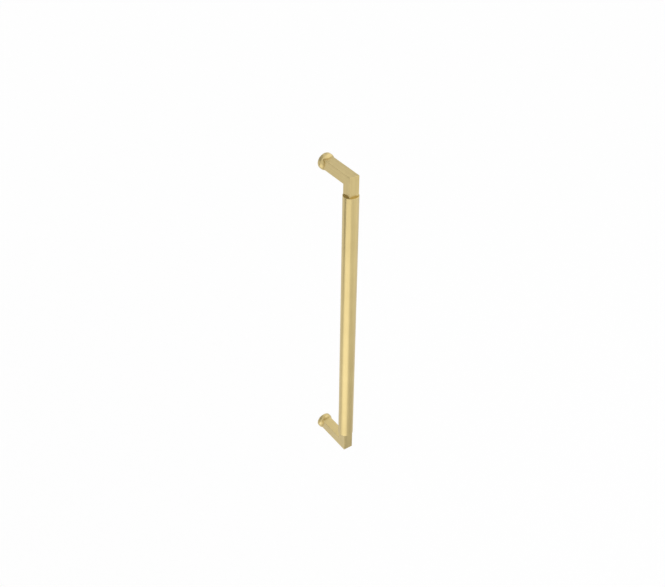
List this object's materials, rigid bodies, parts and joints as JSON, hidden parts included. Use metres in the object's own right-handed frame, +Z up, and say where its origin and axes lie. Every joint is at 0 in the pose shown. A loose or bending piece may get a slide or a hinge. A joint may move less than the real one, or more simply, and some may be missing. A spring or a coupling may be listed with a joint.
{
  "type": "door pull handle",
  "caption": "Straight door pull: a long round grip carried between square elbows that turn back to small domed roses, for bolting through a door.",
  "frame": {"origin": "on the face of the door, halfway between the two fixing holes", "axes": "+Z up along the grip, +Y into the door along the fixing bolts, +X to the right seen from the front"},
  "size_m": [0.0205, 0.0601, 0.4204],
  "materials": {
    "satin_brass": "satin, brushed along each bar",
    "plated_steel": "zinc plated thread"
  },
  "bodies": {
    "root": {"grip_bar": "satin_brass", "upper_elbow": "satin_brass", "lower_elbow": "satin_brass", "upper_rose": "satin_brass", "lower_rose": "satin_brass", "upper_stud": "plated_steel", "lower_stud": "plated_steel"}
  },
  "joints": []
}
